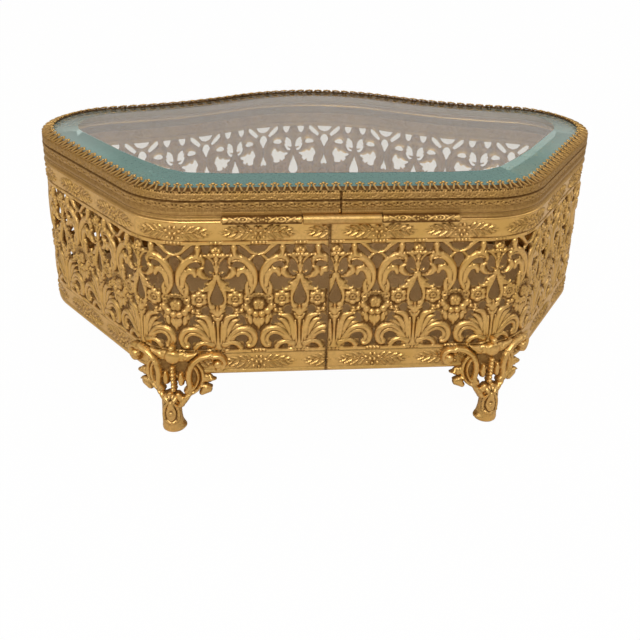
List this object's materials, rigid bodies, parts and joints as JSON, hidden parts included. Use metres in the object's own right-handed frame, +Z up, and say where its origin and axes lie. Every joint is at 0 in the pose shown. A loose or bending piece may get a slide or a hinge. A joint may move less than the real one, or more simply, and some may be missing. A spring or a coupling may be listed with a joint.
{
  "type": "glass casket box",
  "caption": "Footed jewel casket with a pierced scrollwork brass wall, a bow front, a padded velvet floor and a hinged lid of bevelled glass held by a gallery of claws.",
  "frame": {"origin": "middle of the bounding box, on the surface that the feet stand on", "axes": "+Z up, +Y towards the bowed front, -Y towards the hinge side, +X to the right seen from the hinge side"},
  "size_m": [0.2348, 0.1456, 0.1012],
  "materials": {
    "gilt_brass": "gilt, with brown patina in the recesses",
    "aged_brass": "dull, dark with age",
    "bevelled_glass": "polished, faintly green",
    "brown_velvet": "short pile",
    "pressed_board": "plain pressed board"
  },
  "bodies": {
    "case": {"filigree_wall": "gilt_brass", "wall_rim": "gilt_brass", "floor_plate": "aged_brass", "pad_board": "pressed_board", "velvet_pad": "brown_velvet", "foot_back_left": "gilt_brass", "foot_back_right": "gilt_brass", "foot_front_left": "gilt_brass", "foot_front_right": "gilt_brass", "foot_screws": "aged_brass", "band_rivet": "aged_brass", "hinge_centre_knuckle": "gilt_brass", "hinge_pin": "aged_brass"},
    "lid": {"hinge_left_knuckle": "gilt_brass", "hinge_right_knuckle": "gilt_brass", "lid_frame": "gilt_brass", "glass_gallery": "gilt_brass", "lid_glass": "bevelled_glass"}
  },
  "joints": [
    {"name": "lid_hinge", "type": "hinge", "parent": "case", "child": "lid", "pos_m": [0, -0.07094, 0.089], "axis": [1, 0, 0], "range_deg": [0, 100]}
  ]
}
